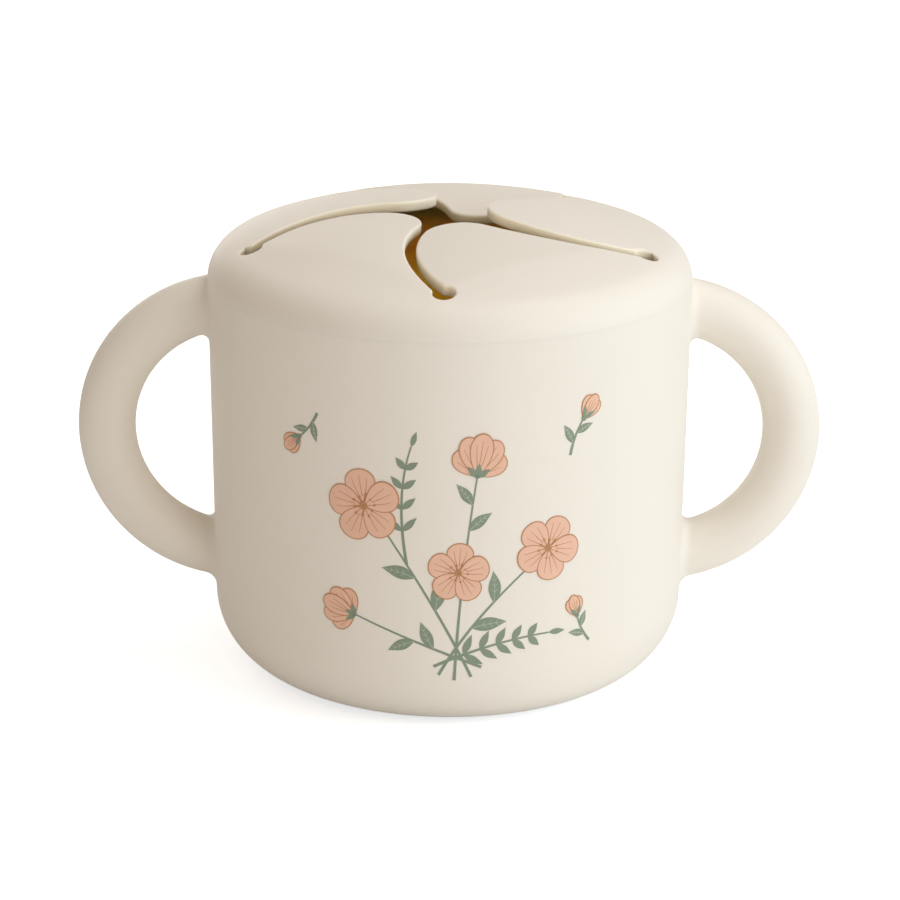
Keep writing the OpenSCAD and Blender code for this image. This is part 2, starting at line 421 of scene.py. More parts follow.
@dataclass
class Cup:
    """The cup: a rounded base, a plain wall and a rim with a collar and a sealing bead."""

    form: OuterForm
    finish: SoftSilicone
    inner_painted_shade: SoftSilicone
    wall_t: float = 2.8 * MM
    floor_t: float = 3.2 * MM
    foot_recess_r: float = 23.0 * MM
    foot_recess_d: float = 0.8 * MM
    rim_w: float = 4.5 * MM
    collar_t: float = 1.4 * MM
    collar_h: float = 3.3 * MM
    collar_bevel: float = 0.4 * MM
    band_h: float = 6.0 * MM
    band_slope_h: float = 5.5 * MM
    bead_r: float = 0.6 * MM
    bead_proud: float = 0.35 * MM
    edge_round: float = 0.02 * MM
    steps: int = 160
    base_steps: int = 18
    inner_steps: int = 12
    bead_steps: int = 8
    inward: float = 0.2
    upward: float = 0.5

    def section(self) -> ProfilePen:
        """Draws the cup's half section, from the recess under the base round to the floor inside."""
        form = self.form
        lean_deg = math.degrees(math.atan(form.lean))
        mouth_r = form.rim_r - self.rim_w
        collar_r = mouth_r + self.collar_t
        collar_top = form.step_z + self.collar_h
        bead_a = math.degrees(math.acos((self.bead_r - self.bead_proud) / self.bead_r))
        bead_z = form.step_z + self.collar_h / 2
        bead_reach = self.bead_r * math.sin(math.radians(bead_a))
        inner_round = form.base_round - self.wall_t
        floor_a = math.degrees(math.asin((form.base_round - self.floor_t) / inner_round))
        slope_z = form.step_z - self.band_h - self.band_slope_h

        pen = ProfilePen(0.0, self.foot_recess_d)
        pen.line_to(self.foot_recess_r, self.foot_recess_d).line_to(self.foot_recess_r, 0.0)
        pen.line_to(form.base_cx, 0.0).arc(form.base_cx, form.base_round, 90.0 - lean_deg, self.base_steps)
        pen.line_to(form.rim_r, form.shoulder_z)
        pen.arc(form.shoulder_cx, form.shoulder_z, math.degrees(form.step_a), 2)
        pen.line_to(collar_r, form.step_z).line_to(collar_r, bead_z - bead_reach)
        pen.arc(collar_r + self.bead_proud - self.bead_r, bead_z, 2 * bead_a, self.bead_steps)
        pen.line_to(collar_r, collar_top - self.collar_bevel)
        pen.line_to(collar_r - self.collar_bevel, collar_top)
        pen.line_to(mouth_r + self.collar_bevel, collar_top)
        pen.line_to(mouth_r, collar_top - self.collar_bevel)
        pen.line_to(mouth_r, form.step_z - self.band_h)
        pen.line_to(form.wall_r(slope_z) - self.wall_t, slope_z)
        pen.line_to(form.base_cx + inner_round * math.cos(math.radians(lean_deg)),
                    form.base_round - inner_round * math.sin(math.radians(lean_deg)))
        pen.arc(form.base_cx, form.base_round, lean_deg - floor_a, self.inner_steps)
        return pen.line_to(0.0, self.floor_t)

    def is_inside(self, face: BMFace) -> bool:
        """Tells whether a face is on the inner wall or on the floor inside.

        Args:
            face: A face of the turned cup.

        Returns:
            True if the face lies within the wall and looks at the axis, or looks up from low in the cup.
        """
        middle = face.calc_center_median()
        mid_wall_r = self.form.wall_r(middle.z) - self.wall_t / 2
        if middle.z < self.floor_t - MM or middle.to_2d().length > mid_wall_r:
            return False
        out = middle.to_2d().to_3d().normalized()
        looks_in, looks_up = face.normal.dot(out) < -self.inward, face.normal.z > self.upward
        return looks_in or (looks_up and middle.z < self.form.step_z / 2)

    def build(self) -> bpy.types.Object:
        """Turns the section, rounds its corners and dresses the cup, with a golden painted shade on the inner
        wall and floor.
        """
        bm = self.section().turn(self.steps)
        round_edges(bm, sharp_edges(bm), self.edge_round)
        # Faces inside get the second material: its golden colour is painted shade, and its strong subsurface
        # glow is translucency.
        for face in bm.faces:
            face.material_index = int(self.is_inside(face))
        piece = to_piece(bm, "cup_moulding", self.finish.material(), self.inner_painted_shade.material())
        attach(piece, "cup")
        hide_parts("cup_body")
        return piece


class Side(Enum):
    """The side of the cup that a handle is on."""

    RIGHT = 1
    LEFT = -1

    @property
    def node(self) -> str:
        """Name of the handle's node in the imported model."""
        return f"{self.name.lower()}_handle"


@dataclass
class RingHandle:
    """A round bar bent into a ring, whose ends flare into the cup's wall.

    The bar is plain within free_deg of the ring's outermost point. Beyond that each end is drawn on to the
    wall, flares in a quarter circle, and is closed inside the wall.
    """

    form: OuterForm
    finish: SoftSilicone
    ring_r: float = 24.0 * MM
    bar_r: float = 5.25 * MM
    handle_in: float = 4.9 * MM
    handle_drop: float = 0.15 * MM
    root_fillet: float = 1.9 * MM
    top_fillet: float = 0.42 * MM
    dip: float = 0.02 * MM
    dip_proud: float = 0.05 * MM
    dip_spread: float = 0.3
    sink: float = 1.0 * MM
    free_deg: float = 63.0
    round_bar: int = 48
    steps: int = 44
    run_up: tuple[float, ...] = (0.25, 0.5, 0.75)
    flare_steps: int = 6
    search_deg: tuple[float, float] = (40.0, 95.0)
    halvings: int = 40

    @property
    def centre(self) -> Vector:
        """Centre of the ring on the right-hand side."""
        return Vector((self.form.rim_r - self.handle_in, 0.0,
                       self.form.step_z - self.handle_drop - self.bar_r - self.ring_r))

    def skin_point(self, angle: float, round_a: float, proud: float) -> Vector:
        """Gives a point on the bar's skin.

        Args:
            angle: Angle along the ring, from +X towards +Z.
            round_a: Angle round the bar, from the ring's outer side towards +Y.
            proud: How far the flare lifts the skin off the bar there.

        Returns:
            The point.
        """
        out = Vector((math.cos(angle), 0.0, math.sin(angle)))
        aside = out * math.cos(round_a) + Vector((0.0, math.sin(round_a), 0.0))
        return self.centre + out * self.ring_r + aside * (self.bar_r + proud)

    def wall_gap(self, point: Vector) -> float:
        """Distance along X from the cup's wall out to a point."""
        return point.x - math.sqrt(self.form.wall_r(point.z) ** 2 - point.y**2)

    def angle_at_gap(self, end: int, round_a: float, proud: float, gap: float) -> float:
        """Finds how far along the ring the skin comes to a distance from the wall.

        Args:
            end: 1 for the upper end and -1 for the lower one.
            round_a: Angle round the bar.
            proud: How far the flare lifts the skin off the bar there.
            gap: Distance from the wall, negative inside it.

        Returns:
            The angle along the ring.
        """
        near, far = (math.radians(angle) for angle in self.search_deg)
        for _ in range(self.halvings):
            middle = (near + far) / 2
            if self.wall_gap(self.skin_point(end * middle, round_a, proud)) > gap:
                near = middle
            else:
                far = middle
        return end * near

    def fillet_at(self, end: int, round_a: float) -> float:
        """Size of the flare round the bar, which the lid's edge limits on top of the upper end.

        Args:
            end: 1 for the upper end and -1 for the lower one.
            round_a: Angle round the bar.

        Returns:
            The radius of the flare there.
        """
        if end < 0 or math.cos(round_a) < 0:
            return self.root_fillet
        share = math.cos(round_a) ** 2
        return self.root_fillet + (self.top_fillet - self.root_fillet) * share * share * (3 - 2 * share)

    def run_up_point(self, end: int, round_a: float, share: float) -> Vector:
        """Gives a point of the bar between its plain stretch and its flare.

        Args:
            end: 1 for the upper end and -1 for the lower one.
            round_a: Angle round the bar.
            share: Share of the way to the flare.

        Returns:
            The point.
        """
        start = end * math.radians(self.free_deg)
        last = self.angle_at_gap(end, round_a, 0.0, self.fillet_at(end, round_a))
        return self.skin_point(start + (last - start) * share, round_a, 0.0)

    def flare_point(self, end: int, round_a: float, step: int) -> Vector:
        """Gives a point of the flare, or of the two rings inside the wall that follow it.

        Args:
            end: 1 for the upper end and -1 for the lower one.
            round_a: Angle round the bar.
            step: Number of the ring, from 0 where the flare starts.

        Returns:
            The point.
        """
        fillet = self.fillet_at(end, round_a)
        if step <= self.flare_steps:
            turn = math.radians(90.0 / self.flare_steps * step)
            proud, gap = fillet * (1 - math.cos(turn)), fillet * (1 - math.sin(turn))
        else:
            proud = fillet + self.dip_proud + self.dip_spread * (fillet - self.top_fillet)
            gap = -self.dip if step == self.flare_steps + 1 else -self.sink
        return self.skin_point(self.angle_at_gap(end, round_a, proud, gap), round_a, proud)

    def flare(self, bm: BMesh, rim: list[BMEdge], end: int) -> None:
        """Draws one end of the bar on to the wall, lets it flare and closes it inside the wall.

        Args:
            bm: Mesh of the bar.
            rim: Open edge loop at that end.
            end: 1 for the upper end and -1 for the lower one.
        """
        around = bm.verts.layers.float["around"]
        for share in self.run_up:
            fresh, rim = draw_out(bm, rim)
            for vert in fresh:
                vert.co = self.run_up_point(end, vert[around], share)
        for step in range(self.flare_steps + 3):
            fresh, rim = draw_out(bm, rim)
            for vert in fresh:
                vert.co = self.flare_point(end, vert[around], step)
        bmesh.ops.holes_fill(bm, edges=rim, sides=0)

    def build(self, side: Side) -> bpy.types.Object:
        """Sweeps the bar along its ring, flares both ends and dresses the handle.

        Args:
            side: The side of the cup.

        Returns:
            The handle.
        """
        bm = bmesh.new()
        around = bm.verts.layers.float.new("around")
        circle = bmesh.ops.create_circle(bm, cap_ends=False, segments=self.round_bar,
                                         radius=self.bar_r)["verts"]
        for vert in circle:
            vert[around] = math.atan2(vert.co.y, vert.co.x)
        bmesh.ops.translate(bm, verts=circle, vec=self.centre + Vector((self.ring_r, 0.0, 0.0)))
        start = Matrix.Rotation(math.radians(self.free_deg), 3, "Y")
        bmesh.ops.rotate(bm, verts=circle, cent=self.centre, matrix=start)
        bmesh.ops.spin(bm, geom=circle + bm.edges[:], cent=self.centre, axis=(0.0, 1.0, 0.0),
                       angle=-2 * math.radians(self.free_deg), steps=self.steps, use_merge=False)
        for end in (1, -1):
            rim = [e for e in bm.edges if e.is_boundary and end * (e.verts[0].co.z - self.centre.z) > 0]
            self.flare(bm, rim, end)
        if side is Side.LEFT:
            bmesh.ops.scale(bm, verts=bm.verts[:], vec=(-1.0, 1.0, 1.0))
        bmesh.ops.recalc_face_normals(bm, faces=bm.faces[:])
        piece = to_piece(bm, f"{side.name.lower()}_ring_handle", self.finish.material())
        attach(piece, "cup")
        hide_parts(side.node)
        return piece


# Lid and flaps


class Place(Enum):
    """Where a flap is and how it rests.

    Each value holds the step round the lid, counted anticlockwise from the front right, the angle in
    degrees by which the root is bent up, and the angle by which the nose is twisted up on the right.
    """

    FRONT_RIGHT = (0, -4.3, 2.3)
    BACK_RIGHT = (1, 0.9, 2.1)
    BACK = (2, -9.8, -10.0)
    BACK_LEFT = (3, -1.1, 1.9)
    FRONT_LEFT = (4, -5.5, -4.2)

    @property
    def node(self) -> str:
        """Name of the flap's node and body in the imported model."""
        return f"flap_{self.name.lower()}"


@dataclass(frozen=True)
class EdgeRound:
    """The small rounding of a moulded edge, as rows of places from the face down to the side wall."""

    radius: float
    hold: float = 0.22 * MM
    segments: int = 3

    @property
    def reach(self) -> float:
        """Distance in from the side wall to the place where the plain face ends."""
        return self.radius + self.hold

    def rows(self) -> list[tuple[float, float]]:
        """Gives the rows outside the plain face, each with its distance from the side wall and its drop."""
        turns = [math.pi / 2 * k / self.segments for k in range(self.segments + 1)]
        return [(self.radius * (1 - math.sin(a)), self.radius * (1 - math.cos(a))) for a in turns]


def on_arc(centre: Vector, radius: float, first: float, last: float, share: float) -> Vector:
    """Gives a point on an arc of less than half a turn.

    Args:
        centre: Centre of the arc.
        radius: Its radius.
        first: Angle at which it starts.
        last: Angle at which it ends, give or take full turns.
        share: Share of its way, from 0 to 1.

    Returns:
        The point.
    """
    angle = first + math.remainder(last - first, math.tau) * share
    return centre + radius * Vector((math.cos(angle), math.sin(angle)))


def bearing(centre: Vector, point: Vector) -> float:
    """Angle of a point seen from a centre."""
    return math.atan2(point.y - centre.y, point.x - centre.x)


def meet(first: Vector, first_r: float, other: Vector, other_r: float) -> Vector:
    """Finds where two circles cross.

    Args:
        first: Centre of the first circle.
        first_r: Its radius.
        other: Centre of the other circle.
        other_r: Its radius.

    Returns:
        The crossing on the left of the line from the first centre to the other.
    """
    span = (other - first).length
    along = (span**2 + first_r**2 - other_r**2) / (2 * span)
    ahead = (other - first) / span
    return first + ahead * along + Vector((-ahead.y, ahead.x)) * math.sqrt(first_r**2 - along**2)


@dataclass(frozen=True)
class FlapPattern:
    """The pinwheel that is cut into the lid, drawn for one flap whose root is towards -Y."""

    form: OuterForm
    count: int = 5
    turn_deg: float = -1.6
    hole_in: float = 7.0 * MM
    hole_r: float = 2.0 * MM
    petal_in: float = 8.2 * MM
    petal_twist_deg: float = 12.5
    nose_r: float = 6.7 * MM
    slit_w: float = 2.3 * MM
    corner_r: float = 0.7 * MM
    hinge_in: float = 1.0 * MM
    bend_in: float = 3.4 * MM
    lid_t: float = 2.0 * MM
    edge: EdgeRound = EdgeRound(0.4 * MM)

    @property
    def half_a(self) -> float:
        """Half of the angle that one flap takes."""
        return math.pi / self.count

    @property
    def hole_ring_r(self) -> float:
        """Radius of the ring of holes."""
        return self.form.rim_r - self.hole_in

    @property
    def seam_y(self) -> float:
        """Line on which a flap's piece meets the lid's ring, through the outermost points of the holes."""
        return -(self.hole_ring_r + self.hole_r) * math.cos(self.half_a)

    @property
    def hinge_y(self) -> float:
        """Line on which the flap bends."""
        return self.hole(1).y + self.hinge_in

    @property
    def hinge_z(self) -> float:
        """Height of that line, in the middle of the lid's thickness."""
        return (self.form.top_z(-self.hinge_y) + self.form.dome_cz
                + math.sqrt(self.form.dome_r**2 - self.hole_ring_r**2)) / 2 - self.lid_t / 2

    @property
    def corner_a(self) -> float:
        """Angle at the axis between a hole's middle and the end of the seam beside it."""
        return self.half_a - math.atan2(self.seam_x(self.edge.reach), -self.seam_y)

    @property
    def petal_r(self) -> float:
        """Radius of the bulging edge, from which the slit's middle runs into the hole's middle."""
        return (self.petal_centre(0) - self.hole(-1)).length - self.slit_w / 2

    @property
    def nose(self) -> Vector:
        """Centre of the flap's rounded nose, which touches the bulging and the hollow edge."""
        return meet(self.petal_centre(0), self.petal_r - self.nose_r,
                    self.petal_centre(1), self.petal_r + self.slit_w + self.nose_r)

    def seam_x(self, inset: float = 0.0) -> float:
        """Half the length of the seam between the holes at its ends, or between places inset from them."""
        hole = self.hole(1)
        return hole.x - math.sqrt((self.hole_r + inset) ** 2 - (self.seam_y - hole.y) ** 2)

    def hole(self, side: int) -> Vector:
        """Middle of the hole at one end of the flap's root, 1 for the right and -1 for the left."""
        return self.hole_ring_r * Vector((side * math.sin(self.half_a), -math.cos(self.half_a)))

    def petal_centre(self, step: int) -> Vector:
        """Centre of this flap's bulging edge for step 0, or of the next flap's for step 1."""
        angle = math.radians(self.petal_twist_deg - 90.0) + step * math.tau / self.count
        return (self.hole_ring_r - self.petal_in) * Vector((math.cos(angle), math.sin(angle)))

    def side_edge(self, side: int, share: float, inset: float, rows: tuple[int, int, int]) -> Vector:
        """Gives a point on one side edge of the flap, from its root to its nose.

        The edge runs round the hole first, then round the slit's corner, and then along the bulging arc on
        the left or the hollow one on the right.

        Args:
            side: -1 for the left edge and 1 for the right one.
            share: Share of the rows passed, from 0 at the root to 1 at the nose.
            inset: Distance in from the edge.
            rows: Rows along the hole, round the corner and along the slit.

        Returns:
            The point.
        """
        hole, centre = self.hole(side), self.petal_centre(0 if side < 0 else 1)
        radius = self.petal_r if side < 0 else self.petal_r + self.slit_w
        knee = meet(hole, self.hole_r + self.corner_r, centre, radius + side * self.corner_r)
        passed = share * sum(rows)
        if passed <= rows[0]:
            first = bearing(hole, Vector((side * self.seam_x(inset), self.seam_y)))
            return on_arc(hole, self.hole_r + inset, first, bearing(hole, knee), passed / rows[0])
        passed -= rows[0]
        if passed <= rows[1]:
            last = bearing(centre, knee) if side < 0 else bearing(knee, centre)
            return on_arc(knee, self.corner_r - inset, bearing(knee, hole), last, passed / rows[1])
        first, last = bearing(centre, knee), bearing(centre, self.nose)
        return on_arc(centre, radius + side * inset, first, last, (passed - rows[1]) / rows[2])

    def nose_edge(self, share: float, inset: float) -> Vector:
        """Gives a point on the rounded nose, from left to right, at a distance in from the edge."""
        own, other, nose = self.petal_centre(0), self.petal_centre(1), self.nose
        return on_arc(nose, self.nose_r - inset, bearing(own, nose), bearing(nose, other), share)

    def turned(self, step: int) -> Matrix:
        """Turn about Z from the drawn flap to the flap at a step round the lid."""
        return Matrix.Rotation(math.radians(self.turn_deg) + math.tau / self.count * (step + 0.5), 3, "Z")


@dataclass
class LidRing:
    """The lid's skirt and shoulder, in as far as the roots of the flaps."""

    form: OuterForm
    pattern: FlapPattern
    finish: SoftSilicone
    edge_painted_light: SoftSilicone
    skirt_r: float = 41.45 * MM
    channel_top: float = 77.0 * MM
    top_start_r: float = 41.2 * MM
    under_start_r: float = 40.0 * MM
    edge_round: float = 0.02 * MM
    weld: float = 0.002 * MM
    shoulder_steps: int = 12
    hole_columns: int = 12
    seam_columns: int = 32
    loops: tuple[float, ...] = (0.1, 0.21, 0.34, 0.5, 0.72, 1.0)

    def section(self) -> ProfilePen:
        """Draws the ring's half section, from its top over the shoulder and skirt to its underside."""
        form, lid_t = self.form, self.pattern.lid_t
        start_a = math.degrees(math.acos((self.top_start_r - form.shoulder_cx) / form.shoulder_r))
        inner_r = form.shoulder_r - lid_t
        channel_a = math.asin((self.channel_top - form.shoulder_z) / inner_r)
        under_a = math.degrees(math.acos((self.under_start_r - form.shoulder_cx) / inner_r))
        pen = ProfilePen(self.top_start_r, form.top_z(self.top_start_r))
        pen.arc(form.shoulder_cx, form.shoulder_z, math.degrees(form.step_a) - start_a, self.shoulder_steps)
        pen.line_to(self.skirt_r, form.step_z).line_to(self.skirt_r, self.channel_top)
        pen.line_to(form.shoulder_cx + inner_r * math.cos(channel_a), self.channel_top)
        pen.arc(form.shoulder_cx, form.shoulder_z, under_a - math.degrees(channel_a), 1)
        return pen

    def column_angles(self) -> list[float]:
        """Angles of all columns round the lid: close together at the holes and wider along the seams."""
        corner, pitch = self.pattern.corner_a, math.tau / self.pattern.count
        angles = []
        for step in range(self.pattern.count):
            first = math.radians(self.pattern.turn_deg - 90.0) + step * pitch
            angles += [first + corner * (2 * k / self.hole_columns - 1) for k in range(self.hole_columns)]
            angles += [first + corner + (pitch - 2 * corner) * k / self.seam_columns
                       for k in range(self.seam_columns)]
        return angles

    def place_of(self, column: int) -> tuple[int, int]:
        """Splits a column into the step round the lid and the column of that step, from before its hole."""
        return divmod(column, self.hole_columns + self.seam_columns)

    def inner_edge(self, column: int, inset: float) -> Vector:
        """Gives the ring's inner edge at a column: round the outer side of a hole, or on a flap's seam.

        Args:
            column: Index of the column.
            inset: Distance from the hole's edge.

        Returns:
            The point in plan.
        """
        pattern = self.pattern
        step, part = self.place_of(column)
        hole, out = pattern.hole(-1), bearing(Vector((0.0, 0.0)), pattern.hole(-1))
        if part <= self.hole_columns:
            seam_end = Vector((-pattern.seam_x(inset), pattern.seam_y))
            span = math.remainder(bearing(hole, seam_end) - out, math.tau)
            flat = on_arc(hole, pattern.hole_r + inset, out - span, out + span, part / self.hole_columns)
        else:
            share = (part - self.hole_columns) / self.seam_columns
            flat = Vector((pattern.seam_x(inset) * (2 * share - 1), pattern.seam_y))
        return (pattern.turned(step) @ flat.to_3d()).to_2d()

    def close_in(self, bm: BMesh, rim: list[BMEdge], depth: float) -> None:
        """Draws one open edge of the ring in to the roots of the flaps, and rounds it off at the holes.

        Args:
            bm: Mesh of the ring.
            rim: The open edge loop.
            depth: Distance of that face below the lid's outer face.
        """
        column, edge = bm.verts.layers.int["column"], self.pattern.edge
        starts = {v[column]: v.co.to_2d() for e in rim for v in e.verts}
        rows = [(share, edge.reach, 0.0) for share in self.loops]
        rows += [(1.0, inset, drop) for inset, drop in edge.rows()]
        for number, (share, inset, drop) in enumerate(rows):
            if number == len(self.loops):
                rim = [e for e in rim
                       if max(self.place_of(v[column])[1] for v in e.verts) <= self.hole_columns]
            fresh, rim = draw_out(bm, rim)
            for vert in fresh:
                flat = starts[vert[column]].lerp(self.inner_edge(vert[column], inset), share)
                height = self.form.top_z(flat.length, depth)
                vert.co = (flat.x, flat.y, height + drop if depth > 0 else height - drop)

    def turn_section(self) -> BMesh:
        """Turns the section column by column, and notes each vertex's column in a layer."""
        bm, angles = self.section().bm, self.column_angles()
        bmesh.ops.rotate(bm, verts=bm.verts[:], cent=ORIGIN, matrix=Matrix.Rotation(angles[0], 3, "Z"))
        last: list[BMVert | BMEdge] = bm.verts[:] + bm.edges[:]
        corner, pitch = self.pattern.corner_a, math.tau / self.pattern.count
        for _ in range(self.pattern.count):
            for turn, steps in ((2 * corner, self.hole_columns), (pitch - 2 * corner, self.seam_columns)):
                last = bmesh.ops.spin(bm, geom=last, cent=ORIGIN, axis=UP, angle=turn, steps=steps,
                                      use_merge=False)["geom_last"]
        bmesh.ops.remove_doubles(bm, verts=bm.verts[:], dist=self.weld)
        column = bm.verts.layers.int.new("column")
        for vert in bm.verts:
            here = math.atan2(vert.co.y, vert.co.x)
            gaps = [abs(math.remainder(angle - here, math.tau)) for angle in angles]
            vert[column] = gaps.index(min(gaps))
        return bm

    def build(self) -> bpy.types.Object:
        """Turns the section, closes it in to the flaps on top and underneath, and dresses the ring."""
        bm = self.turn_section()
        open_edges = [e for e in bm.edges if e.is_boundary]
        split_r = (self.top_start_r + self.under_start_r) / 2
        upper = [e for e in open_edges if e.verts[0].co.to_2d().length > split_r]
        self.close_in(bm, upper, 0.0)
        self.close_in(bm, [e for e in open_edges if e not in upper], self.pattern.lid_t)
        bmesh.ops.bridge_loops(bm, edges=[e for e in bm.edges if e.is_boundary])
        bmesh.ops.recalc_face_normals(bm, faces=bm.faces[:])
        skirt = [e for e in sharp_edges(bm) if min(v.co.to_2d().length for v in e.verts) > split_r]
        round_edges(bm, skirt, self.edge_round)
        cut_r = self.pattern.hole_ring_r + self.pattern.hole_r + self.pattern.edge.reach
        # The cut walls round the holes get the brighter, warmer painted light.
        mark_cut_walls(bm, lambda middle: middle.to_2d().length < cut_r)
        piece = to_piece(bm, "lid_ring", self.finish.material(), self.edge_painted_light.material())
        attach(piece, "lid")
        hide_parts("lid_shell")
        return piece


@dataclass
class Flap:
    """One curved flap of the lid, which bends at its root."""

    form: OuterForm
    pattern: FlapPattern
    finish: SoftSilicone
    edge_painted_light: SoftSilicone
    columns: int = 16
    left_rows: tuple[int, int, int] = (9, 4, 21)
    right_rows: tuple[int, int, int] = (3, 4, 27)
    twist_way: float = 30.0 * MM
    touch: float = 1e-4
    seam_clear: float = 0.01 * MM

    def rim_point(self, side: int, share: float, inset: float) -> Vector:
        """Gives a point near the flap's free edge.

        Args:
            side: -1 for the left edge, 1 for the right one and 0 for the nose.
            share: Share of the way along that edge.
            inset: Distance in from the edge.

        Returns:
            The point in the flap's plane.
        """
        if side == 0:
            return self.pattern.nose_edge(share, inset)
        return self.pattern.side_edge(side, share, inset, self.left_rows if side < 0 else self.right_rows)

    def spread(self, across: float, along: float) -> Vector:
        """Places a point of a flat grid inside the flap's four edges, less their rounding.

        Args:
            across: From 0 at the left edge to 1 at the right one.
            along: From 0 at the root to 1 at the nose.

        Returns:
            The point in the flap's plane.
        """
        inset = self.pattern.edge.reach

        def between(row: float) -> Vector:
            """Gives the point between both side edges at a share of their way."""
            return self.rim_point(-1, row, inset) * (1 - across) + self.rim_point(1, row, inset) * across

        root = Vector((self.pattern.seam_x(inset) * (2 * across - 1), self.pattern.seam_y))
        ends = root * (1 - along) + self.rim_point(0, across, inset) * along
        return between(along) + ends - between(0.0) * (1 - along) - between(1.0) * along

    def sheet(self) -> BMesh:
        """Draws the flap's upper face in plan, with rows of vertices for its rounded edge."""
        bm = bmesh.new()
        side, share = bm.verts.layers.int.new("side"), bm.verts.layers.float.new("share")
        drop = bm.verts.layers.float.new("drop")
        bmesh.ops.create_grid(bm, x_segments=self.columns, y_segments=sum(self.left_rows), size=0.5)
        seam = set()
        for vert in bm.verts:
            across, along = vert.co.x + 0.5, vert.co.y + 0.5
            vert[side] = -1 if across < self.touch else 1 if across > 1 - self.touch else 0
            vert[share] = along if vert[side] else across
            if along < self.touch:
                seam.add(vert)
            vert.co = self.spread(across, along).to_3d()
        rim = [e for e in bm.edges if e.is_boundary and not set(e.verts) <= seam]
        for inset, fall in self.pattern.edge.rows():
            fresh, rim = draw_out(bm, rim)
            for vert in fresh:
                vert[drop] = fall
                vert.co = self.rim_point(vert[side], vert[share], inset).to_3d()
        return bm

    def bend_share(self, y: float) -> float:
        """Tells how much of the flap's bend is reached at a line across it.

        Args:
            y: Place of the line in the drawn flap's frame.

        Returns:
            Share of the bend, from 0 on the seam to 1 where the flap is straight again.
        """
        start, end = self.pattern.seam_y, self.pattern.hinge_y + self.pattern.bend_in
        share = min(max((y - start) / (end - start), 0.0), 1.0)
        return share * share * (3 - 2 * share)

    def thicken(self, bm: BMesh, twist_deg: float) -> None:
        """Lays the sheet on the dome, twists it and gives it its thickness.

        Args:
            bm: The sheet in plan.
            twist_deg: Angle by which the nose is twisted up on the right.
        """
        drop = bm.verts.layers.float["drop"]
        made = bmesh.ops.extrude_face_region(bm, geom=bm.faces[:], use_keep_orig=True)["geom"]
        under = {g for g in made if isinstance(g, BMVert)}
        for vert in bm.verts:
            height = self.form.top_z(vert.co.to_2d().length, self.pattern.lid_t if vert in under else 0.0)
            past_holes = max(vert.co.y - self.pattern.hole(1).y, 0.0)
            height += math.radians(twist_deg) * vert.co.x * past_holes / self.twist_way
            vert.co.z = height + vert[drop] if vert in under else height - vert[drop]
        bmesh.ops.recalc_face_normals(bm, faces=bm.faces[:])

    def build(self, place: Place) -> bpy.types.Object:
        """Gives the flap's sheet its thickness, tilts it to rest and turns it to its place.

        Args:
            place: Which flap it is.

        Returns:
            The flap.
        """
        pattern = self.pattern
        step, tilt_deg, twist_deg = place.value
        bm = self.sheet()
        self.thicken(bm, twist_deg)
        # The flap's cut walls get the brighter, warmer painted light.
        mark_cut_walls(bm, lambda middle: middle.y > pattern.seam_y + self.seam_clear)
        pivot = Vector((0.0, pattern.hinge_y, pattern.hinge_z))
        for vert in bm.verts:
            turn = Matrix.Rotation(math.radians(tilt_deg) * self.bend_share(vert.co.y), 3, "X")
            vert.co = turn @ (vert.co - pivot) + pivot
        turned = pattern.turned(step)
        bmesh.ops.rotate(bm, verts=bm.verts[:], cent=ORIGIN, matrix=turned)
        piece = to_piece(bm, f"{place.node}_petal", self.finish.material(), self.edge_painted_light.material())
        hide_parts(place.node)
        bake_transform(piece, "lid", place.node, start=turned @ Vector((0.0, pattern.seam_y, pattern.hinge_z)),
                 end=turned @ Vector((0.0, pattern.hinge_y + pattern.bend_in, pattern.hinge_z)))
        return piece


# Print


@dataclass(frozen=True)
class FlatCurve:
    """A curve in the plane of the print, from a start to an end, drawn towards a bend between them."""

    start: Vector
    bend: Vector
    end: Vector

    @classmethod
    def ray(cls, start: Vector, heading: float, length: float, bow: float = 0.0) -> "FlatCurve":
        """Draws a curve of a given length and heading.

        Args:
            start: Where it starts.
            heading: Its direction in degrees, from +u towards +v.
            length: Distance to its end.
            bow: Distance of the bend from the straight line, positive to its left.

        Returns:
            The curve.
        """
        ahead = compass(heading)
        left = Vector((-ahead.y, ahead.x))
        return cls(start, start + ahead * length / 2 + left * bow, start + ahead * length)

    def at(self, share: float) -> Vector:
        """Gives the point at a share of the way."""
        return self.start * (1 - share) ** 2 + self.bend * 2 * share * (1 - share) + self.end * share**2

    def ahead(self, share: float) -> Vector:
        """Gives the direction at a share of the way."""
        return ((self.bend - self.start) * (1 - share) + (self.end - self.bend) * share).normalized()

    def heading(self, share: float) -> float:
        """Gives the direction at a share of the way, in degrees."""
        ahead = self.ahead(share)
        return math.degrees(math.atan2(ahead.y, ahead.x))


def compass(degrees: float) -> Vector:
    """Gives the flat unit vector at an angle from +u towards +v."""
    return Vector((math.cos(math.radians(degrees)), math.sin(math.radians(degrees))))


def taper_line(half: float) -> Callable[[float], float]:
    """Gives the half width of a line that thins out towards its end."""
    return lambda share: half * (1.0 - 0.5 * share)


def taper_leaf(half: float) -> Callable[[float], float]:
    """Gives the half width of an almond-shaped leaf, pointed at both ends."""
    return lambda share: half * math.sin(math.pi * share**0.85) ** 1.15


def taper_petal(half: float, widest: float = 0.64) -> Callable[[float], float]:
    """Gives the half width of a petal with a narrow foot and a round outer end.

    Args:
        half: Half width where the petal is widest.
        widest: Share of the way at which that is.

    Returns:
        A function of the share of the way.
    """

    def half_width(share: float) -> float:
        """Gives the half width at a share of the way."""
        if share < widest:
            return half * math.sin(math.pi / 2 * share / widest) ** 0.8
        return half * math.sqrt(max(1.0 - ((share - widest) / (1.0 - widest)) ** 2, 0.0))

    return half_width


